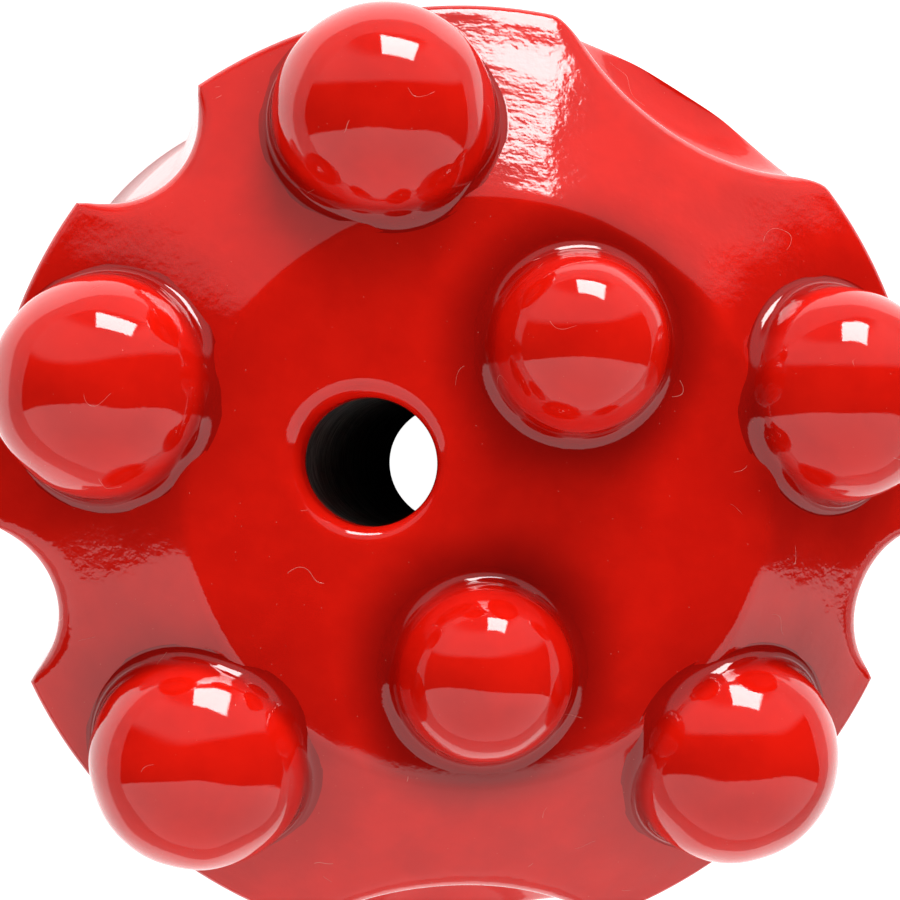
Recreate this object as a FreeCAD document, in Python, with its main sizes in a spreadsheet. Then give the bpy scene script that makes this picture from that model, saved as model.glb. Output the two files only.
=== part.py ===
import FreeCAD, Part
import os
import Sketcher

# Seven-button rock drill bit for an R32 rope-threaded drill rod.
# Millimetres and degrees.  +Z runs along the bit's axis towards the rock, and the origin is the
# centre of the rear face, where the drill rod enters.  The flushing hole opens towards -X.

# Driving sizes.
SIZES = {
    # Turned body
    "face_height": 70.0,
    "head_diameter": 44.0,
    "bevel_width": 8.75,
    "bevel_angle": 30.0,
    "land_length": 11.0,
    "relief_length": 3.0,
    "flare_length": 12.0,
    "flare_step": 0.7,
    "rear_chamfer": 1.0,
    # Socket for the drill rod, bored to the root of its thread
    "socket_diameter": 31.6,
    "socket_depth": 52.5,
    "skirt_wall": 4.0,
    "mouth_chamfer": 1.6,
    "socket_corner": 2.0,
    # Flushing hole, from the face down into the socket's floor
    "flushing_diameter": 6.0,
    "flushing_offset": 5.5,
    "flushing_lean": 21.0,
    "flushing_lip": 0.6,
    # Gauge buttons, square to the bevel
    "gauge_button_diameter": 10.0,
    "gauge_inset": 4.75,
    "gauge_seat_depth": 9.0,
    "gauge_stand": 0.2,
    # Face buttons, parallel to the axis
    "face_button_diameter": 8.0,
    "face_button_inset": 9.25,
    "face_seat_depth": 6.5,
    "face_stand": 0.3,
    # Both kinds of button
    "button_fit": 0.0,
    "foot_chamfer": 0.8,
    # Azimuths, counted from +X
    "front_gauge_azimuth": 30.0,
    "side_gauge_azimuth": 120.0,
    "rear_gauge_azimuth": 180.0,
    "face_button_azimuth": 73.5,
    # Flutes: three small ones run straight, two large ones climb out onto the land
    "small_cutter_radius": 4.0,
    "small_floor_lift": 0.35,
    "large_cutter_radius": 12.5,
    "large_flute_depth": 3.3,
    "large_flute_ramp": 18.0,
    "edge_radius": 0.5,
    # How far every cutter runs past the metal
    "cutter_overrun": 6.0,
}

# Sizes that follow from the driving ones.
DERIVED = {
    "head_radius": "head_diameter / 2",
    "face_radius": "head_radius - bevel_width",
    "socket_radius": "socket_diameter / 2",
    "skirt_radius": "socket_radius + skirt_wall",
    "waist_radius": "skirt_radius - flare_step",
    "rear_edge_radius": "skirt_radius - rear_chamfer",
    "rim_height": "face_height - bevel_width * tan(bevel_angle * 1 deg)",
    "land_end": "rim_height - land_length",
    "waist_height": "land_end - relief_length",
    "flare_end": "waist_height - flare_length",
    "mouth_radius": "socket_radius + mouth_chamfer",
    "corner_height": "socket_depth - socket_corner",
    "floor_radius": "socket_radius - socket_corner",
    "flushing_radius": "flushing_diameter / 2",
    "flushing_length": "(face_height - socket_depth) / cos(flushing_lean * 1 deg) + cutter_overrun",
    "gauge_radius": "gauge_button_diameter / 2",
    "gauge_hole_radius": "gauge_radius + button_fit",
    "gauge_pitch_radius": "head_radius - gauge_inset",
    "gauge_height": "rim_height + gauge_inset * tan(bevel_angle * 1 deg)",
    "gauge_seat_across": "gauge_pitch_radius - gauge_seat_depth * sin(bevel_angle * 1 deg)",
    "gauge_seat_height": "gauge_height - gauge_seat_depth * cos(bevel_angle * 1 deg)",
    "gauge_shank": "gauge_seat_depth + gauge_stand",
    "gauge_foot": "gauge_radius - foot_chamfer",
    "gauge_crown": "gauge_shank + gauge_radius",
    "face_pitch_radius": "gauge_pitch_radius - face_button_inset",
    "face_button_radius": "face_button_diameter / 2",
    "face_hole_radius": "face_button_radius + button_fit",
    "face_seat_height": "face_height - face_seat_depth",
    "face_shank": "face_seat_depth + face_stand",
    "face_foot": "face_button_radius - foot_chamfer",
    "face_crown": "face_shank + face_button_radius",
    "large_flute_azimuth": "(front_gauge_azimuth + side_gauge_azimuth) / 2",
    "small_flute_azimuth": "(side_gauge_azimuth + rear_gauge_azimuth) / 2",
    "small_cutter_across": "waist_radius + small_floor_lift + small_cutter_radius",
    "large_floor_radius": "head_radius - large_flute_depth",
    "large_cutter_across": "large_floor_radius + large_cutter_radius / cos(large_flute_ramp * 1 deg)",
    "flute_length": "rim_height - waist_height",
    "flute_rise": "face_height - rim_height + cutter_overrun",
}

doc = FreeCAD.newDocument("button_bit")
sheet = doc.addObject("Spreadsheet::Sheet", "dims")
cells = dict(SIZES)
cells.update({alias: "=" + formula for alias, formula in DERIVED.items()})
for row, alias in enumerate(cells, start=1):
    sheet.set(f"A{row}", alias)
    sheet.setAlias(f"B{row}", alias)
for row, content in enumerate(cells.values(), start=1):
    sheet.set(f"B{row}", str(content))
doc.recompute()


def number(alias):
    """A cell's value; a leading minus reverses it, and no name at all is zero."""
    if not alias:
        return 0.0
    value = sheet.get(alias.lstrip("-"))
    value = float(getattr(value, "Value", value))
    return -value if alias.startswith("-") else value


def formula(alias):
    """The expression that reads a cell, with the same leading minus."""
    return "-dims." + alias[1:] if alias.startswith("-") else "dims." + alias


def origin_plane(body, role):
    """One of the body's own origin planes."""
    return next(item for item in body.Origin.OriginFeatures if item.Role == role)


def pin(sketch, curve, point, kind, alias):
    """Ties a curve's point to a cell, across or up; with no cell the point lies on that axis."""
    if not alias:
        axis = -2 if kind == "DistanceX" else -1
        sketch.addConstraint(Sketcher.Constraint("PointOnObject", curve, point, axis))
        return
    index = sketch.addConstraint(Sketcher.Constraint(kind, -1, 1, curve, point, number(alias)))
    name = f"{kind}_{curve}_{point}"
    sketch.renameConstraint(index, name)
    sketch.setExpression("Constraints." + name, formula(alias))


def draw_outline(sketch, corners):
    """A closed chain of lines.  A corner is (across, up), or (across, up, centre_across) where a
    quarter arc about a centre level with the corner leads on to the next one."""
    points = [FreeCAD.Vector(number(corner[0]), number(corner[1]), 0) for corner in corners]
    for index, corner in enumerate(corners):
        start = points[index]
        end = points[(index + 1) % len(points)]
        if len(corner) == 2:
            sketch.addGeometry(Part.LineSegment(start, end), False)
            continue
        centre = FreeCAD.Vector(number(corner[2]), number(corner[1]), 0)
        middle = centre + ((start - centre) + (end - centre)).normalize() * (start - centre).Length
        sketch.addGeometry(Part.Arc(start, middle, end), False)
    for index, corner in enumerate(corners):
        before = (index - 1) % len(corners)
        sketch.addConstraint(Sketcher.Constraint("Coincident", before, 2, index, 1))
        pin(sketch, index, 1, "DistanceX", corner[0])
        pin(sketch, index, 1, "DistanceY", corner[1])
        if len(corner) > 2:
            pin(sketch, index, 3, "DistanceX", corner[2])


def revolve(body, kind, name, sketch):
    """A full turn of a sketch about its own vertical axis."""
    feature = body.newObject(kind, name)
    feature.Profile = sketch
    feature.ReferenceAxis = (sketch, ["V_Axis"])
    feature.Angle = 360.0
    sketch.Visibility = False
    doc.recompute()
    return feature


def turned_body(label, corners):
    """A body whose first feature is its half section turned about +Z."""
    body = doc.addObject("PartDesign::Body", label)
    body.Label = label
    sketch = body.newObject("Sketcher::SketchObject", label + "_section")
    sketch.AttachmentSupport = [(origin_plane(body, "XZ_Plane"), "")]
    sketch.MapMode = "FlatFace"
    draw_outline(sketch, corners)
    doc.recompute()
    revolve(body, "PartDesign::Revolution", label + "_turned", sketch)
    return body


def round_cut(body, name, azimuth, across, up, lean, corners):
    """A round cut whose axis lies in the radial plane at an azimuth, passes through (across, up)
    and leans from +Z towards the bit's axis by the angle given."""
    plane = body.newObject("PartDesign::Plane", name + "_plane")
    plane.AttachmentSupport = [(origin_plane(body, "XZ_Plane"), "")]
    plane.MapMode = "FlatFace"
    turn = FreeCAD.Rotation(FreeCAD.Vector(0, 1, 0), number(azimuth))
    plane.AttachmentOffset = FreeCAD.Placement(FreeCAD.Vector(), turn)
    if azimuth:
        plane.setExpression("AttachmentOffset.Rotation.Angle", formula(azimuth))
    plane.Visibility = False
    sketch = body.newObject("Sketcher::SketchObject", name + "_profile")
    sketch.AttachmentSupport = [(plane, "")]
    sketch.MapMode = "FlatFace"
    tilt = FreeCAD.Rotation(FreeCAD.Vector(0, 0, 1), number(lean))
    sketch.AttachmentOffset = FreeCAD.Placement(FreeCAD.Vector(number(across), number(up), 0), tilt)
    sketch.setExpression("AttachmentOffset.Base.x", formula(across))
    sketch.setExpression("AttachmentOffset.Base.y", formula(up))
    if lean:
        sketch.setExpression("AttachmentOffset.Rotation.Angle", formula(lean))
    draw_outline(sketch, corners)
    doc.recompute()
    before = body.Tip.Shape.Volume
    feature = revolve(body, "PartDesign::Groove", name, sketch)
    if feature.Shape.isNull() or feature.Shape.Volume > before - 1.0:
        raise RuntimeError(f"{name} cuts nothing")


def bar(radius, below, above):
    """The half section of a round bar, from below its origin to above it."""
    return [("", "-" + below), (radius, "-" + below), (radius, above), ("", above)]


# Bit body: one forging, turned all over, with the rod socket bored up from the rear.
bit_body = turned_body("bit_body", [
    ("", "socket_depth"),
    ("", "face_height"),
    ("face_radius", "face_height"),
    ("head_radius", "rim_height"),
    ("head_radius", "land_end"),
    ("waist_radius", "waist_height"),
    ("skirt_radius", "flare_end"),
    ("skirt_radius", "rear_chamfer"),
    ("rear_edge_radius", ""),
    ("mouth_radius", ""),
    ("socket_radius", "mouth_chamfer"),
    ("socket_radius", "corner_height", "floor_radius"),
    ("floor_radius", "socket_depth"),
])

# Flushing hole: leans outwards on its way up to the face.
round_cut(bit_body, "flushing_hole", "rear_gauge_azimuth", "flushing_offset", "face_height",
          "-flushing_lean", bar("flushing_radius", "flushing_length", "cutter_overrun"))

# Button holes: flat-bottomed, five square to the bevel and two square to the face.
GAUGE_AZIMUTHS = [
    "front_gauge_azimuth",
    "side_gauge_azimuth",
    "rear_gauge_azimuth",
    "-side_gauge_azimuth",
    "-front_gauge_azimuth",
]
FACE_AZIMUTHS = ["face_button_azimuth", "-face_button_azimuth"]
for count, azimuth in enumerate(GAUGE_AZIMUTHS, start=1):
    round_cut(bit_body, f"gauge_hole_{count}", azimuth, "gauge_pitch_radius", "gauge_height",
              "-bevel_angle", bar("gauge_hole_radius", "gauge_seat_depth", "cutter_overrun"))
for count, azimuth in enumerate(FACE_AZIMUTHS, start=1):
    round_cut(bit_body, f"face_hole_{count}", azimuth, "face_pitch_radius", "face_height",
              "", bar("face_hole_radius", "face_seat_depth", "cutter_overrun"))

# Flutes for the cuttings, milled midway between neighbouring gauge buttons.
SMALL_FLUTES = ["", "small_flute_azimuth", "-small_flute_azimuth"]
LARGE_FLUTES = ["large_flute_azimuth", "-large_flute_azimuth"]
for count, azimuth in enumerate(SMALL_FLUTES, start=1):
    round_cut(bit_body, f"small_flute_{count}", azimuth, "small_cutter_across", "rim_height",
              "", bar("small_cutter_radius", "flute_length", "flute_rise"))
for count, azimuth in enumerate(LARGE_FLUTES, start=1):
    round_cut(bit_body, f"large_flute_{count}", azimuth, "large_cutter_across", "rim_height",
              "large_flute_ramp", bar("large_cutter_radius", "flute_length", "flute_rise"))


def edge_names(shape, wanted):
    """Names of the wanted edges, as a dress-up feature takes them."""
    names = []
    for index, edge in enumerate(shape.Edges, start=1):
        if any(edge.isSame(other) for other in wanted):
            names.append(f"Edge{index}")
    return names


def fillet(body, name, radius, wanted):
    """Rounds the wanted edges of the body's latest feature."""
    base = body.Tip
    feature = body.newObject("PartDesign::Fillet", name)
    feature.Base = (base, edge_names(base.Shape, wanted))
    feature.setExpression("Radius", formula(radius))
    base.Visibility = False
    doc.recompute()


def is_flute_wall(face):
    """True of a round wall whose cutter stood outside the head."""
    if not isinstance(face.Surface, Part.Cylinder):
        return False
    foot = face.Surface.Center
    axis = face.Surface.Axis
    if abs(axis.z) < 0.5:
        return False
    crossing = foot + axis * ((number("rim_height") - foot.z) / axis.z)
    return (crossing.x ** 2 + crossing.y ** 2) ** 0.5 > number("head_radius")


def is_circle_at(edge, radius, height):
    """True of a circular edge about the bit's axis, with that radius and height."""
    if not isinstance(edge.Curve, Part.Circle):
        return False
    centre = edge.Curve.Center
    on_axis = abs(centre.x) + abs(centre.y) < 0.001
    return on_axis and abs(edge.Curve.Radius - radius) < 0.001 and abs(centre.z - height) < 0.001


# Broken edges: the mouth of the flushing hole, then round the flutes and the land.
lip_edges = []
for face in bit_body.Tip.Shape.Faces:
    round_wall = isinstance(face.Surface, Part.Cylinder)
    if round_wall and abs(face.Surface.Radius - number("flushing_radius")) < 0.001:
        lip_edges.extend(edge for edge in face.Edges if edge.BoundBox.ZMin > number("rim_height"))
fillet(bit_body, "flushing_lip_round", "flushing_lip", lip_edges)

metal = bit_body.Tip.Shape
head_edges = []
for face in metal.Faces:
    if is_flute_wall(face):
        head_edges.extend(face.Edges)
for edge in metal.Edges:
    for height in ("rim_height", "land_end"):
        if is_circle_at(edge, number("head_radius"), number(height)):
            head_edges.append(edge)
fillet(bit_body, "head_edges_round", "edge_radius", head_edges)


# Buttons: cemented carbide, each a round bar with a chamfered foot and a hemispherical crown.
def place_button(body, azimuth, across, up, lean):
    """Stands a button on its seat, leaning outwards by the angle given."""
    turn = f"({formula(azimuth)}) * 1 deg"
    body.setExpression("Placement.Base.x", f"dims.{across} * cos({turn})")
    body.setExpression("Placement.Base.y", f"dims.{across} * sin({turn})")
    body.setExpression("Placement.Base.z", formula(up))
    if lean:
        body.setExpression("Placement.Rotation.Axis.x", f"-sin({turn})")
        body.setExpression("Placement.Rotation.Axis.y", f"cos({turn})")
        body.setExpression("Placement.Rotation.Axis.z", "0")
        body.setExpression("Placement.Rotation.Angle", formula(lean))


buttons = []
for count, azimuth in enumerate(GAUGE_AZIMUTHS, start=1):
    button = turned_body(f"gauge_button_{count}", [
        ("", ""),
        ("gauge_foot", ""),
        ("gauge_radius", "foot_chamfer"),
        ("gauge_radius", "gauge_shank", ""),
        ("", "gauge_crown"),
    ])
    place_button(button, azimuth, "gauge_seat_across", "gauge_seat_height", "bevel_angle")
    buttons.append(button)
for count, azimuth in enumerate(FACE_AZIMUTHS, start=1):
    button = turned_body(f"face_button_{count}", [
        ("", ""),
        ("face_foot", ""),
        ("face_button_radius", "foot_chamfer"),
        ("face_button_radius", "face_shank", ""),
        ("", "face_crown"),
    ])
    place_button(button, azimuth, "face_pitch_radius", "face_seat_height", "")
    buttons.append(button)
doc.recompute()

# One STEP file for each piece, once every feature has built.
for item in doc.Objects:
    if "Invalid" in item.State or "Error" in item.State:
        raise RuntimeError(f"{item.Name} did not build: {item.State}")
os.makedirs("parts", exist_ok=True)
for body in [bit_body] + buttons:
    if body.Shape.isNull() or not body.Shape.isValid():
        raise RuntimeError(f"{body.Label} has no valid solid")
    body.Shape.exportStep(f"parts/{body.Label}.step")
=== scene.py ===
import bpy
import math
import numpy as np
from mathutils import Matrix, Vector


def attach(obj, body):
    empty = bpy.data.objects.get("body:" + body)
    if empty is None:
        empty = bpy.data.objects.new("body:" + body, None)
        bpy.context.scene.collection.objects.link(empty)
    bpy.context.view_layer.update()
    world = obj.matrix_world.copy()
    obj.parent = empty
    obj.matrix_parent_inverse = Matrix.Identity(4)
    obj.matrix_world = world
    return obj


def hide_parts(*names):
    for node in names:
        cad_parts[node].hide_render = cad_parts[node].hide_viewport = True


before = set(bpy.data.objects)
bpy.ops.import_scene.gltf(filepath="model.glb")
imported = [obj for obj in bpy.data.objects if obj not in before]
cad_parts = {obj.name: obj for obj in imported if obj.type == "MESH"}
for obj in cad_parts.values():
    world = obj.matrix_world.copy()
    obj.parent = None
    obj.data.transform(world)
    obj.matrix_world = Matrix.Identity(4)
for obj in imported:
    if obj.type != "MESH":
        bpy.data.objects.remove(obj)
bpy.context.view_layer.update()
scene = bpy.context.scene

MM = 0.001

# ---------------------------------------------------------------------------------------------
# Bit body: one turned and milled steel forging.  The outside is dipped in thick gloss enamel,
# which rounds every edge and runs a little way into the flushing hole; the rest of the hole and
# the rope-threaded socket are left bare.  Lengths are in millimetres and angles in radians.

FACE_Z = 70.0
HEAD_R = 22.0
BEVEL_WIDTH = 8.75
BEVEL = math.radians(30.0)
FACE_R = HEAD_R - BEVEL_WIDTH
RIM_Z = FACE_Z - BEVEL_WIDTH * math.tan(BEVEL)
LAND_LENGTH = 11.0
BACK_TAPER = math.radians(6.0)
RELIEF_LENGTH = 3.0
FLARE_LENGTH = 12.0
LAND_Z = RIM_Z - LAND_LENGTH
LAND_END_R = HEAD_R - LAND_LENGTH * math.tan(BACK_TAPER)
WAIST_Z = LAND_Z - RELIEF_LENGTH
WAIST_R = 19.1
FLARE_Z = WAIST_Z - FLARE_LENGTH
SKIRT_R = 19.8
REAR_CHAMFER = 1.0
SOCKET_R = 15.8
SOCKET_Z = 52.5
MOUTH_CHAMFER = 1.6
CORNER = 2.0
HOLE_R = 3.0
HOLE_OFFSET = 5.5
HOLE_LEAN = math.radians(21.0)
LIP = 0.8
COAT = 0.12
COAT_DEPTH = 1.1
SMALL_CUTTER = 4.0
SMALL_FLOOR = WAIST_R + 0.35
LARGE_CUTTER = 12.5
LARGE_FLOOR = 18.7
LARGE_WALL = 1.4
LARGE_HOLLOW = 3.4
EDGE = 1.3
EDGE_ROUND = 1.2
RIM_ROUND = 0.6
LAND_ROUND = 0.5
WAIST_ROUND = 1.0
SKIRT_ROUND = 3.0
HEEL_ROUND = 0.3
THREAD_PITCH = 12.7
THREAD_DEPTH = 1.5

GAUGE_AZIMUTHS = [30.0, 120.0, 180.0, -120.0, -30.0]
FACE_AZIMUTHS = [73.5, -73.5]
SMALL_AZIMUTHS = [0.0, 150.0, -150.0]
LARGE_AZIMUTHS = [75.0, -75.0]
GAUGE_INSET = 4.75
GAUGE_R = 5.0
GAUGE_STAND = 0.2
FACE_PITCH = 8.0
FACE_BUTTON_R = 4.0
FACE_STAND = 0.3


def smooth_min(a, b, reach):
    """The smaller of two lengths, with the crease between them rounded off."""
    h = np.clip(reach - np.abs(a - b), 0.0, None) / reach
    return np.minimum(a, b) - h * h * reach / 4


def ramp(value, start, end):
    """0 at start, 1 at end, and an even S between them."""
    t = np.clip((value - start) / (end - start), 0.0, 1.0)
    return t * t * (3 - 2 * t)


def flute_radius(theta, z):
    """How far out the metal reaches where the milling cutters have passed.  The large flutes end
    below the rim in a hollow that sweeps out to the land; the small ones run right down it."""
    reach = np.full(np.broadcast(theta, z).shape, 2 * HEAD_R)
    for azimuth in SMALL_AZIMUTHS + LARGE_AZIMUTHS:
        if azimuth in LARGE_AZIMUTHS:
            drop = np.clip(RIM_Z - LARGE_WALL - z, 0.0, None)
            inside = np.clip(drop, 0.0, LARGE_HOLLOW)
            cutter = LARGE_CUTTER - LARGE_HOLLOW + np.sqrt(LARGE_HOLLOW ** 2 - inside ** 2)
            cutter = np.clip(cutter - 2 * (drop - inside), 0.0, None)
            centre = LARGE_FLOOR + LARGE_CUTTER
        else:
            cutter = SMALL_CUTTER
            centre = SMALL_FLOOR + SMALL_CUTTER
        turn = (theta - math.radians(azimuth) + math.pi) % (2 * math.pi) - math.pi
        half = cutter ** 2 - (centre * np.sin(turn)) ** 2
        hit = (half > 0) & (np.abs(turn) < math.pi / 2)
        near = centre * np.cos(turn) - np.sqrt(np.where(hit, half, 0.0))
        reach = np.where(hit, np.minimum(reach, near), reach)
    return reach


def outside(theta, radius, z):
    """A ring of the painted outside: the turned radius, cut back by the flutes."""
    r = smooth_min(radius + 0 * theta, flute_radius(theta, z + 0 * theta), EDGE)
    return np.stack([r * np.cos(theta), r * np.sin(theta), z + 0 * theta], axis=1)


def round_corner(before, corner, after, radius, steps):
    """Points along the arc that rounds a corner of the half section."""
    before, corner, after = map(np.array, (before, corner, after))
    u = (before - corner) / np.linalg.norm(before - corner)
    v = (after - corner) / np.linalg.norm(after - corner)
    half = math.acos(np.clip(u @ v, -1, 1)) / 2
    setback = radius / math.tan(half)
    centre = corner + (u + v) / np.linalg.norm(u + v) * radius / math.sin(half)
    start, end = corner + u * setback - centre, corner + v * setback - centre
    sweep = math.pi - 2 * half
    return [centre + (start * math.sin(sweep * (1 - t)) + end * math.sin(sweep * t)) / math.sin(sweep)
            for t in np.linspace(0, 1, steps)]


def line(start, end, steps):
    """Points between two ends, both left out."""
    start, end = np.array(start), np.array(end)
    return [start + (end - start) * t for t in np.linspace(0, 1, steps + 2)[1:-1]]


FINE = 576
COARSE = 192
fine = np.linspace(0, 2 * math.pi, FINE, endpoint=False)
coarse = np.linspace(0, 2 * math.pi, COARSE, endpoint=False)

rings = []
ring_finish = []


def add_ring(points, finish):
    rings.append(np.array(points))
    ring_finish.append(finish)


# The flushing hole, from the socket's floor up to its rounded lip.
hole_axis = np.array([-math.sin(HOLE_LEAN), 0.0, math.cos(HOLE_LEAN)])
hole_side = np.array([math.cos(HOLE_LEAN), 0.0, math.sin(HOLE_LEAN)])
hole_across = np.array([0.0, 1.0, 0.0])
hole_top = np.array([-HOLE_OFFSET, 0.0, FACE_Z])


def bore_ring(radius, depth):
    """A level ring round the leaning hole, at a depth below the face."""
    around = radius * (np.cos(coarse)[:, None] * hole_side + np.sin(coarse)[:, None] * hole_across)
    return hole_top + around + hole_axis * ((-depth - around[:, 2]) / hole_axis[2])[:, None]


low = bore_ring(HOLE_R, FACE_Z - SOCKET_Z)
bare_end = bore_ring(HOLE_R, LIP + COAT_DEPTH)
for t in np.linspace(0, 1, 20):
    add_ring(low + (bare_end - low) * t, "bore")
high = bore_ring(HOLE_R - COAT, LIP)
for t in np.linspace(0, 1, 6):
    thickness = COAT * min(1.0, t * 3 + 0.4)
    add_ring(bore_ring(HOLE_R - thickness, LIP + COAT_DEPTH * (1 - t)), "enamel")
outward = np.stack([np.cos(coarse), np.sin(coarse), 0 * coarse], axis=1)
brim = hole_top + outward * HOLE_R * np.array([1 / math.cos(HOLE_LEAN), 1.0, 0.0])
lip_out = brim + outward * LIP
for t in np.linspace(0, 1, 9)[1:]:
    add_ring(high * (1 - t) ** 2 + brim * 2 * t * (1 - t) + lip_out * t * t, "enamel")

# The flat face, out to where the bevel's rounded edge starts.
edge_arc = round_corner((0, FACE_Z), (FACE_R, FACE_Z), (HEAD_R, RIM_Z), EDGE_ROUND, 6)
face_end = edge_arc[0][0]
circle = np.stack([face_end * np.cos(coarse), face_end * np.sin(coarse), FACE_Z + 0 * coarse], axis=1)
for t in np.linspace(0, 1, 16)[1:-1]:
    add_ring(lip_out + (circle - lip_out) * t, "enamel")

# The bevel, rim, land, relief and flare carry the flutes.
rim, land_end = (HEAD_R, RIM_Z), (LAND_END_R, LAND_Z)
waist, skirt_top = (WAIST_R, WAIST_Z), (SKIRT_R, FLARE_Z)
rim_arc = round_corner((FACE_R, FACE_Z), rim, land_end, RIM_ROUND, 10)
land_arc = round_corner(rim, land_end, waist, LAND_ROUND, 6)
waist_arc = round_corner(land_end, waist, skirt_top, WAIST_ROUND, 5)


def on_land(z):
    """The point of the tapered land at a height."""
    top, bottom = rim_arc[-1], land_arc[0]
    return top + (bottom - top) * (top[1] - z) / (top[1] - bottom[1])


hollow_top = RIM_Z - LARGE_WALL
section = edge_arc + line(edge_arc[-1], rim_arc[0], 40) + rim_arc
section += [on_land(z) for z in np.linspace(rim_arc[-1][1], hollow_top, 6)[1:-1]]
section += [on_land(hollow_top - LARGE_HOLLOW * math.sin(t)) for t in np.linspace(0, math.pi / 2, 26)]
section += line(section[-1], land_arc[0], 12) + land_arc
section += line(land_arc[-1], waist_arc[0], 12) + waist_arc
for radius, z in section:
    add_ring(outside(fine, radius, z), "enamel")

# The skirt, the rear face and the mouth of the socket.
skirt_end, rear_edge = (SKIRT_R, REAR_CHAMFER), (SKIRT_R - REAR_CHAMFER, 0)
mouth_edge = (SOCKET_R + MOUTH_CHAMFER, 0)
skirt_arc = round_corner(waist, skirt_top, skirt_end, SKIRT_ROUND, 4)
heel_arc = round_corner(skirt_top, skirt_end, rear_edge, HEEL_ROUND, 4)
sole_arc = round_corner(skirt_end, rear_edge, mouth_edge, HEEL_ROUND, 4)
lower = line(waist_arc[-1], skirt_arc[0], 8) + skirt_arc + line(skirt_arc[-1], heel_arc[0], 12) + heel_arc
lower += line(heel_arc[-1], sole_arc[0], 1) + sole_arc


def turned(radius, z):
    """A plain level ring about the bit's axis."""
    return np.stack([radius * np.cos(coarse), radius * np.sin(coarse), z + 0 * coarse], axis=1)


for radius, z in lower:
    add_ring(turned(radius, z), "enamel")
for radius, z in [mouth_edge] + line(mouth_edge, (SOCKET_R, MOUTH_CHAMFER), 3):
    add_ring(turned(radius, z), "socket")

# The rope thread: one left-handed rounded ridge standing inside the bored wall.
thread_end = SOCKET_Z - CORNER
for z in np.linspace(MOUTH_CHAMFER, thread_end, 84):
    fade = ramp(z, MOUTH_CHAMFER, MOUTH_CHAMFER + 5) * (1 - ramp(z, thread_end - 6, thread_end - 1))
    wave = 0.5 - 0.5 * np.cos(2 * math.pi * z / THREAD_PITCH + coarse)
    add_ring(turned(SOCKET_R - THREAD_DEPTH * fade * wave, z), "socket")
for t in np.linspace(0, math.pi / 2, 6)[1:]:
    corner_r = SOCKET_R - CORNER + CORNER * math.cos(t)
    add_ring(turned(corner_r, thread_end + CORNER * math.sin(t)), "socket")
floor_rim = rings[-1]
for t in (0.3, 0.6, 0.85):
    add_ring(floor_rim + (low - floor_rim) * t, "socket")


# The coat's slow unevenness is a sum of waves that run in every direction.
chance = np.random.default_rng(7)
wave_ways = chance.normal(size=(14, 3))
wave_ways /= np.linalg.norm(wave_ways, axis=1)[:, None]
wave_lengths = chance.uniform(2.2, 5.0, 14)
wave_starts = chance.uniform(0, 2 * math.pi, 14)


def lumps(points):
    """Slow unevenness of the dipped coat, about -1 to 1 over a few millimetres."""
    phase = (points @ wave_ways.T) * (2 * math.pi / wave_lengths) + wave_starts
    return np.sin(phase).sum(axis=1) / 4.5


def stitch(ring_list, closed):
    """Vertices and faces of a skin over rings; a ring may have three times its neighbour's points."""
    starts = np.cumsum([0] + [len(ring) for ring in ring_list])
    faces, rows = [], []
    for index in range(len(ring_list) if closed else len(ring_list) - 1):
        after = (index + 1) % len(ring_list)
        a, b = starts[index], starts[after]
        m, n = len(ring_list[index]), len(ring_list[after])
        for k in range(min(m, n)):
            if m == n:
                made = [(a + k, a + (k + 1) % m, b + (k + 1) % n, b + k)]
            elif m < n:
                step = n // m
                fan = [b + (step * k + j) % n for j in range(step + 1)]
                made = [(a + k, fan[j + 1], fan[j]) for j in range(step)]
                made.append((a + k, a + (k + 1) % m, fan[step]))
            else:
                step = m // n
                fan = [a + (step * k + j) % m for j in range(step + 1)]
                made = [(fan[j], fan[j + 1], b + k) for j in range(step)]
                made.append((fan[step], b + (k + 1) % n, b + k))
            faces += made
            rows += [index] * len(made)
    return np.concatenate(ring_list), faces, rows


def solid(name, points, faces, sharp=40.0):
    """A shaded mesh object, from points in millimetres."""
    mesh = bpy.data.meshes.new(name)
    mesh.from_pydata([tuple(point * MM) for point in points], [], faces)
    mesh.validate()
    mesh.update()
    mesh.polygons.foreach_set("use_smooth", [True] * len(mesh.polygons))
    mesh.set_sharp_from_angle(angle=math.radians(sharp))
    made = bpy.data.objects.new(name, mesh)
    scene.collection.objects.link(made)
    return made


def button_places():
    """Every button as (foot on the body's skin, outward axis, radius, stand)."""
    places = []
    for azimuth in GAUGE_AZIMUTHS:
        a = math.radians(azimuth)
        out = np.array([math.cos(a), math.sin(a), 0.0])
        axis = out * math.sin(BEVEL) + np.array([0, 0, math.cos(BEVEL)])
        foot = out * (HEAD_R - GAUGE_INSET) + np.array([0, 0, RIM_Z + GAUGE_INSET * math.tan(BEVEL)])
        places.append((foot, axis, GAUGE_R, GAUGE_STAND))
    for azimuth in FACE_AZIMUTHS:
        a = math.radians(azimuth)
        foot = np.array([FACE_PITCH * math.cos(a), FACE_PITCH * math.sin(a), FACE_Z])
        places.append((foot, np.array([0.0, 0.0, 1.0]), FACE_BUTTON_R, FACE_STAND))
    return places


def button_pool_and_shade(points):
    """1 against a button, fading to 0 a few millimetres away: painted shade round each button's foot, where
    the enamel also pools.
    """
    near = np.zeros(len(points))
    for foot, axis, radius, _ in button_places():
        offset = points - foot
        height = offset @ axis
        across = np.linalg.norm(offset - height[:, None] * axis, axis=1)
        darkest = 1.0 if radius == FACE_BUTTON_R else 0.4
        near = np.maximum(near, darkest * (1 - ramp(across, radius + 0.4, radius + 3.4)))
    return near


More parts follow.
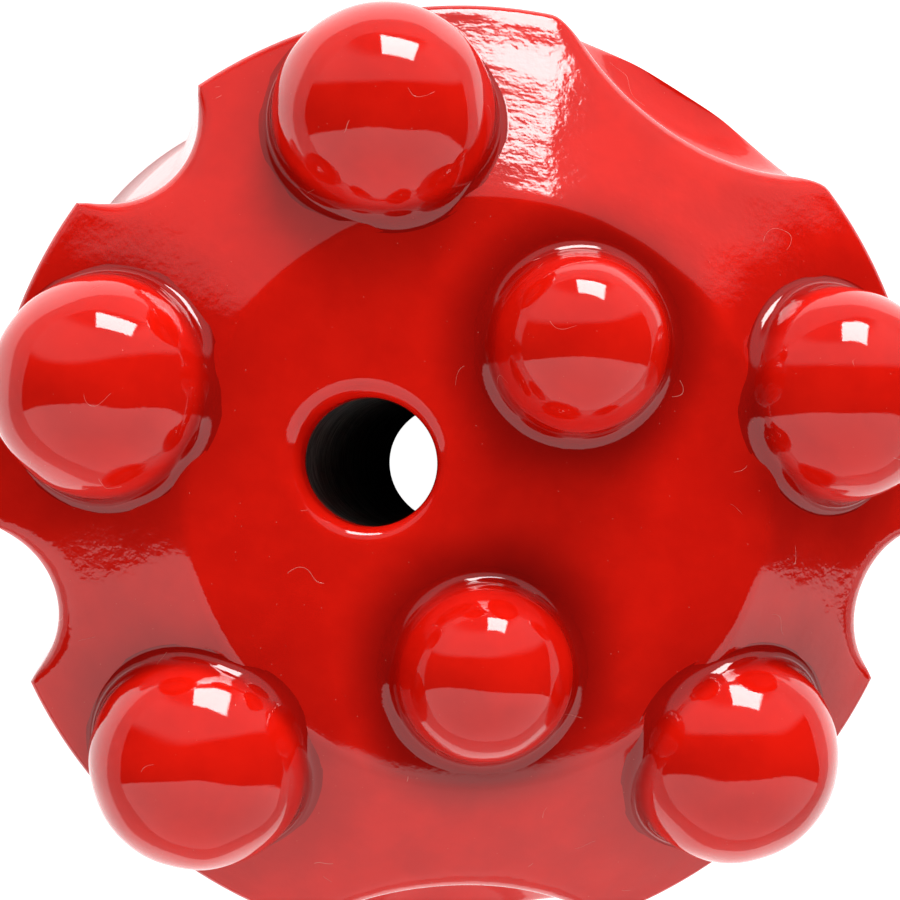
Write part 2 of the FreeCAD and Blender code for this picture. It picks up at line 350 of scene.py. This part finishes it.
points, faces, rows = stitch(rings, closed=True)
coated = np.repeat([finish == "enamel" for finish in ring_finish], [len(ring) for ring in rings])
rho = np.hypot(points[:, 0], points[:, 1])
rough_cast = ramp(rho, FACE_R - 0.6, FACE_R + 1.2) * ramp(points[:, 2], 2.0, 4.0)
swell = lumps(points) * (0.004 + 0.014 * rough_cast) * coated
points[:, 2] += swell * np.where(rho < HEAD_R - 0.6, 1.0, 0.0) * ramp(points[:, 2], LAND_Z, RIM_Z)
body = solid("painted_bit_body", points, faces)
kinds = {"enamel": 0, "bore": 1, "socket": 2}
row_kind = [kinds[finish] for finish in ring_finish]
body.data.polygons.foreach_set("material_index", [row_kind[row] for row in rows])
# Painted shade round the buttons' feet, kept above the waist, stored for the enamel's colour.
pool_and_shade = body.data.attributes.new("pool_and_shade", "FLOAT", "POINT")
pool_and_shade.data.foreach_set("value", np.where(points[:, 2] > WAIST_Z, button_pool_and_shade(points), 0.0))
peel = body.data.attributes.new("peel", "FLOAT", "POINT")
peel.data.foreach_set("value", rough_cast)
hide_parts("bit_body")
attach(body, "root")


class Wire:
    """One output of a shader node.  Sums and products of wires add the Math nodes they need."""

    def __init__(self, finish, socket):
        self.finish = finish
        self.socket = socket

    def maths(self, operation, *values):
        return self.finish.node("ShaderNodeMath", {"operation": operation}, dict(enumerate(values)))

    def __add__(self, other):
        return self.maths("ADD", self, other)

    def __radd__(self, other):
        return self.maths("ADD", other, self)

    def __sub__(self, other):
        return self.maths("SUBTRACT", self, other)

    def __rsub__(self, other):
        return self.maths("SUBTRACT", other, self)

    def __mul__(self, other):
        return self.maths("MULTIPLY", self, other)

    def __rmul__(self, other):
        return self.maths("MULTIPLY", other, self)

    def __pow__(self, other):
        return self.maths("POWER", self, other)

    def __rpow__(self, other):
        return self.maths("POWER", other, self)

    def size(self):
        return self.maths("ABSOLUTE", self)

    def part(self, axis):
        return self.finish.node("ShaderNodeSeparateXYZ", {}, {"Vector": self}, axis)

    def between(self, start, end):
        """0 at start, 1 at end, with an even S between them."""
        return self.finish.node("ShaderNodeMapRange", {"interpolation_type": "SMOOTHSTEP"},
                                {"Value": self, "From Min": start, "From Max": end})


class Finish:
    """The node tree of a material or of the world."""

    def __init__(self, owner):
        owner.use_nodes = True
        self.owner = owner
        self.tree = owner.node_tree
        self.tree.nodes.clear()

    def node(self, kind, settings, sockets, output=0):
        """Any node, from its type, settings and socket values."""
        made = self.tree.nodes.new(kind)
        for key, value in settings.items():
            setattr(made, key, value)
        for key, value in sockets.items():
            if isinstance(value, Wire):
                self.tree.links.new(value.socket, made.inputs[key])
            else:
                made.inputs[key].default_value = value
        return Wire(self, made.outputs[output]) if made.outputs else None

    def place(self):
        """Where a point lies, in millimetres."""
        spot = self.node("ShaderNodeTexCoord", {}, {}, "Object")
        return self.node("ShaderNodeVectorMath", {"operation": "SCALE"}, {0: spot, "Scale": 1 / MM})

    def grain(self, where, scale, detail=2.0, rough=0.5):
        return self.node("ShaderNodeTexNoise", {}, {"Vector": where, "Scale": scale, "Detail": detail,
                                                    "Roughness": rough}, "Fac")

    def blend(self, amount, first, second):
        return self.node("ShaderNodeMix", {"data_type": "RGBA"}, {0: amount, 6: first, 7: second}, 2)

    def stored(self, name):
        return self.node("ShaderNodeAttribute", {"attribute_name": name}, {}, "Fac")


def colour(r, g, b):
    return (r, g, b, 1.0)


def enamel_finish(name):
    """Thick gloss enamel: tool marks and orange peel below it, and dust caught while it was wet."""
    finish = Finish(bpy.data.materials.new(name))
    where = finish.place()
    pool_and_shade_amount = finish.stored("pool_and_shade")
    peeled = finish.stored("peel")
    cloud = finish.grain(where, 0.35, 3.0, 0.55)
    tone = finish.blend(cloud.between(0.3, 0.7), colour(0.72, 0.0072, 0.0024), colour(0.82, 0.0095, 0.0030))
    # Painted shade: the enamel darkens to a deep red round the buttons' feet.
    tone = finish.blend(pool_and_shade_amount * 0.8, tone, colour(0.26, 0.002, 0.001))
    # Dust is a speck here and there; a fibre is a short stretch of a noise's contour line.
    specks = finish.node("ShaderNodeTexVoronoi", {"feature": "F1"},
                         {"Vector": where, "Scale": 2.0}, "Distance")
    rare = finish.grain(where, 0.9, 0.0)
    dust = (1 - specks.between(0.020, 0.060)) * rare.between(0.38, 0.52)
    contour = (finish.grain(where, 0.55, 0.0) - 0.5).size()
    elsewhere = finish.node("ShaderNodeVectorMath", {"operation": "ADD"}, {0: where, 1: (31.0, 17.0, 5.0)})
    few = finish.grain(elsewhere, 0.42, 0.0).between(0.735, 0.745)
    fibre = (1 - contour.between(0.0010, 0.0028)) * few
    tone = finish.blend(dust * 0.5, tone, colour(0.90, 0.22, 0.15))
    tone = finish.blend(fibre * 0.6, tone, colour(0.90, 0.35, 0.28))
    # The bevel keeps a trace of its tool marks, drawn out round the axis.
    x = where.part("X")
    y = where.part("Y")
    across = (x * x + y * y) ** 0.5
    turning = finish.node("ShaderNodeCombineXYZ", {}, {
        "X": x * 9.0 * across ** -1.0,
        "Y": y * 9.0 * across ** -1.0,
        "Z": across * 3.6 + where.part("Z") * 2.2})
    marks = finish.grain(turning, 1.0, 2.0, 0.6)
    orange = finish.grain(where, 2.1, 2.0, 0.55)
    ripple = finish.grain(where, 3.4, 2.0, 0.6)
    height = peeled * (marks * 0.009 + orange * 0.013) + ripple * 0.0022 + dust * 0.006 + fibre * 0.008
    bump = finish.node("ShaderNodeBump", {}, {"Height": height, "Distance": MM, "Strength": 1.0})
    shader = finish.node("ShaderNodeBsdfPrincipled", {}, {
        "Base Color": tone, "Roughness": 0.035 + cloud * 0.03 + peeled * 0.03, "IOR": 1.52, "Normal": bump})
    finish.node("ShaderNodeOutputMaterial", {}, {"Surface": shader})
    return finish.owner


def bare_steel(name, dark, light, rough):
    """Machined steel with fine rings round the leaning hole or the socket."""
    finish = Finish(bpy.data.materials.new(name))
    where = finish.place()
    spun = finish.node("ShaderNodeMapping", {}, {"Vector": where, "Rotation": (0.0, -HOLE_LEAN, 0.0),
                                                 "Scale": (0.35, 0.35, 5.0)})
    rings_mark = finish.grain(spun, 1.6, 4.0, 0.7)
    smut = finish.grain(where, 0.8, 3.0, 0.6)
    tone = finish.blend(rings_mark.between(0.35, 0.75), dark, light)
    bump = finish.node("ShaderNodeBump", {}, {"Height": rings_mark * 0.03, "Distance": MM, "Strength": 1.0})
    shader = finish.node("ShaderNodeBsdfPrincipled", {}, {
        "Base Color": tone, "Metallic": 0.85, "Roughness": rough + smut * 0.15, "Normal": bump})
    finish.node("ShaderNodeOutputMaterial", {}, {"Surface": shader})
    return finish.owner


enamel = enamel_finish("gloss_red_enamel")
body.data.materials.append(enamel)
bored = bare_steel("bored_steel", colour(0.10, 0.10, 0.095), colour(0.62, 0.61, 0.59), 0.30)
socket = bare_steel("socket_steel", colour(0.05, 0.05, 0.05), colour(0.30, 0.30, 0.29), 0.35)
body.data.materials.append(bored)
body.data.materials.append(socket)

# ---------------------------------------------------------------------------------------------
# Buttons: seven cemented-carbide pins with round crowns, pressed into their holes.  The enamel
# covers their crowns and climbs them in a small hollow fillet where they leave the steel.

AROUND = 128
FOOT_CHAMFER = 0.8
turns = np.linspace(0, 2 * math.pi, AROUND, endpoint=False)


def skin_height(x, y):
    """Height of the body's painted top, over its face, rounded edge and bevel."""
    across = np.hypot(x, y)
    slope = math.tan(BEVEL)
    return FACE_Z + smooth_min(0 * across, (FACE_R - across) * slope, 0.35)


def button(name, foot, axis, radius, stand, seat, fillet):
    """The pin, its crown and its fillet of enamel in one closed skin."""
    side = np.cross(axis, np.array([0.0, 1.0, 0.0]))
    side /= np.linalg.norm(side)
    other = np.cross(axis, side)
    spoke = np.cos(turns)[:, None] * side + np.sin(turns)[:, None] * other
    # Where the fillet meets the body's skin, kept short of the rim.
    width = np.full(AROUND, fillet)
    for _ in range(30):
        touch = foot + spoke * (radius + width)[:, None]
        width = np.where(np.hypot(touch[:, 0], touch[:, 1]) > HEAD_R - 0.25, width * 0.85, width)

    def on_skin(distance):
        spot = foot + spoke * distance[:, None]
        rise = np.zeros(AROUND)
        for _ in range(12):
            now = spot + rise[:, None] * axis
            rise = rise - (now[:, 2] - skin_height(now[:, 0], now[:, 1])) * axis[2]
        return spot + rise[:, None] * axis, rise

    outer, _ = on_skin(radius + width)
    corner, base = on_skin(np.full(AROUND, radius) + 0.02)
    climb = np.clip(base + 0.35 + width * 0.9, stand + 0.1, None)
    rings_here = [np.array([foot + axis * (stand + radius)])]
    crown_end = np.arcsin(np.clip((climb - stand) / radius, 0, 1))
    for t in np.linspace(0, 1, 44)[1:]:
        lift = math.pi / 2 + (crown_end - math.pi / 2) * t
        up = (stand + radius * np.sin(lift))[:, None]
        rings_here.append(foot + axis * up + spoke * (radius * np.cos(lift))[:, None])
    top = rings_here[-1]
    for index in range(len(rings_here)):
        spot = rings_here[index]
        outward = spot - (foot + axis * stand)
        outward /= np.linalg.norm(outward, axis=1)[:, None]
        keep = ramp((spot - foot) @ axis, stand + 0.6, stand + 1.8)
        rings_here[index] = spot + outward * (lumps(spot) * keep * 0.034)[:, None]
    for t in np.linspace(0, 1, 14)[1:]:
        rings_here.append(top * (1 - t) ** 2 + corner * 2 * t * (1 - t) + outer * t * t)
    under = outer - axis * 0.12
    rings_here.append(under - spoke * 0.02)
    buried, _ = on_skin(np.full(AROUND, radius))
    rings_here.append(buried - axis * 0.3)
    for drop, size in ((seat - FOOT_CHAMFER, radius), (seat, radius - FOOT_CHAMFER)):
        rings_here.append(foot - axis * drop + spoke * size)
    rings_here.append(np.array([foot - axis * seat]))
    starts = np.cumsum([0] + [len(ring) for ring in rings_here])
    skin = []
    for index in range(len(rings_here) - 1):
        a, b = starts[index], starts[index + 1]
        for k in range(AROUND):
            n = (k + 1) % AROUND
            if len(rings_here[index]) == 1:
                skin.append((a, b + k, b + n))
            elif len(rings_here[index + 1]) == 1:
                skin.append((a + n, a + k, b))
            else:
                skin.append((a + k, b + k, b + n, a + n))
    made_points = np.concatenate(rings_here)
    made = solid(name, made_points, skin, 50.0)
    # Painted shade: each crown darkens towards its foot, over its lowest 1.3 mm.
    height = (made_points - foot) @ axis
    dark = made.data.attributes.new("pool_and_shade", "FLOAT", "POINT")
    dark.data.foreach_set("value", 1 - ramp(height, 0.0, 1.3))
    rippled = made.data.attributes.new("peel", "FLOAT", "POINT")
    rippled.data.foreach_set("value", np.zeros(len(made_points)))
    made.data.materials.append(enamel)
    return made


def finish_button(made, node):
    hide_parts(node)
    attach(made, "root")


places = button_places()
for count in range(5):
    foot, axis, radius, stand = places[count]
    made = button(f"painted_gauge_button_{count + 1}", foot, axis, radius, stand, 9.0, 0.6)
    finish_button(made, f"gauge_button_{count + 1}")
for count in range(2):
    foot, axis, radius, stand = places[5 + count]
    made = button(f"painted_face_button_{count + 1}", foot, axis, radius, stand, 6.5, 0.8)
    finish_button(made, f"face_button_{count + 1}")

# ---------------------------------------------------------------------------------------------
# Studio: a pale floor, white all round, with one square lamp, a broad card low in front and a
# fainter one behind.

floor_mesh = bpy.data.meshes.new("floor")
floor_mesh.from_pydata([(-3, -3, 0), (3, -3, 0), (3, 3, 0), (-3, 3, 0)], [], [(0, 1, 2, 3)])
floor = bpy.data.objects.new("floor", floor_mesh)
scene.collection.objects.link(floor)
paper = Finish(bpy.data.materials.new("white_paper"))
spot = paper.place()
apart = (spot.part("X") ** 2.0 + spot.part("Y") ** 2.0) ** 0.5
seen = paper.node("ShaderNodeLightPath", {}, {}, "Is Camera Ray")
glossy = paper.node("ShaderNodeLightPath", {}, {}, "Is Glossy Ray")
through = paper.node("ShaderNodeLightPath", {}, {}, "Is Transmission Ray")
# Painted light: to the camera the floor under the bit, in the socket's shade, glows a quarter brighter, so
# it shows white through the flushing hole.
under = 1 - apart.between(14.5, 15.5)
sheet = apart.between(19.5, 23.0) * (1 - apart.between(190.0, 200.0))
lit = paper.node("ShaderNodeBsdfDiffuse", {}, {"Color": colour(0.75, 0.75, 0.75)})
strength = seen * (0.80 + under * 0.25) + (glossy + through) * (sheet * 0.9)
glow = paper.node("ShaderNodeEmission", {}, {"Color": colour(1, 1, 1), "Strength": strength})
both = paper.node("ShaderNodeAddShader", {}, {0: lit, 1: glow})
paper.node("ShaderNodeOutputMaterial", {}, {"Surface": both})
floor_mesh.materials.append(paper.owner)

# The camera looks down on the face from a little to one side.
camera_place = Vector((-21.37, 7.40, FACE_Z + 117.91)) * MM
camera_turn = (math.radians(-5.297), math.radians(-8.207), math.radians(16.193))
lens = bpy.data.cameras.new("camera")
lens.sensor_width = 36.0
lens.lens = 107.71
lens.clip_start = 0.005
camera = bpy.data.objects.new("camera", lens)
camera.location = camera_place
camera.rotation_euler = camera_turn
scene.collection.objects.link(camera)
scene.camera = camera

# The world's light, by direction, along three axes that lie square to each other.
right = Vector((0.9505, 0.2760, 0.1428))
up = Vector((-0.2650, 0.9599, -0.0914))
toward = Vector((-0.1622, 0.0490, 0.9855))
world = bpy.data.worlds.new("studio")
scene.world = world
sky = Finish(world)
way = sky.node("ShaderNodeTexCoord", {}, {}, "Generated")


def along(direction):
    return sky.node("ShaderNodeVectorMath", {"operation": "DOT_PRODUCT"}, {0: way, 1: direction}, "Value")


a = along(right)
b = along(up)
c = along(toward)
low_card = (1 - b.between(-0.335, -0.315)) * (1.6 + b * 0.5)
lamp = a.between(-0.02, 0.0) * (1 - a.between(0.40, 0.44)) * b.between(0.0, 0.1)
lamp = lamp * c.between(0.12, 0.15) * (1 - c.between(0.47, 0.50))
high_card = b.between(0.38, 0.50) * (1 - b.between(0.80, 0.92) * 0.75) * 0.75
level = 0.035 + low_card + high_card + lamp * 18.0
camera_ray = sky.node("ShaderNodeLightPath", {}, {}, "Is Camera Ray")
glow = sky.node("ShaderNodeBackground", {}, {"Color": colour(1, 1, 1), "Strength": level})
plain = sky.node("ShaderNodeBackground", {}, {"Color": colour(1, 1, 1), "Strength": 1.0})
mixed = sky.node("ShaderNodeMixShader", {}, {0: camera_ray, 1: glow, 2: plain})
sky.node("ShaderNodeOutputWorld", {}, {"Surface": mixed})

scene.view_settings.view_transform = "Standard"
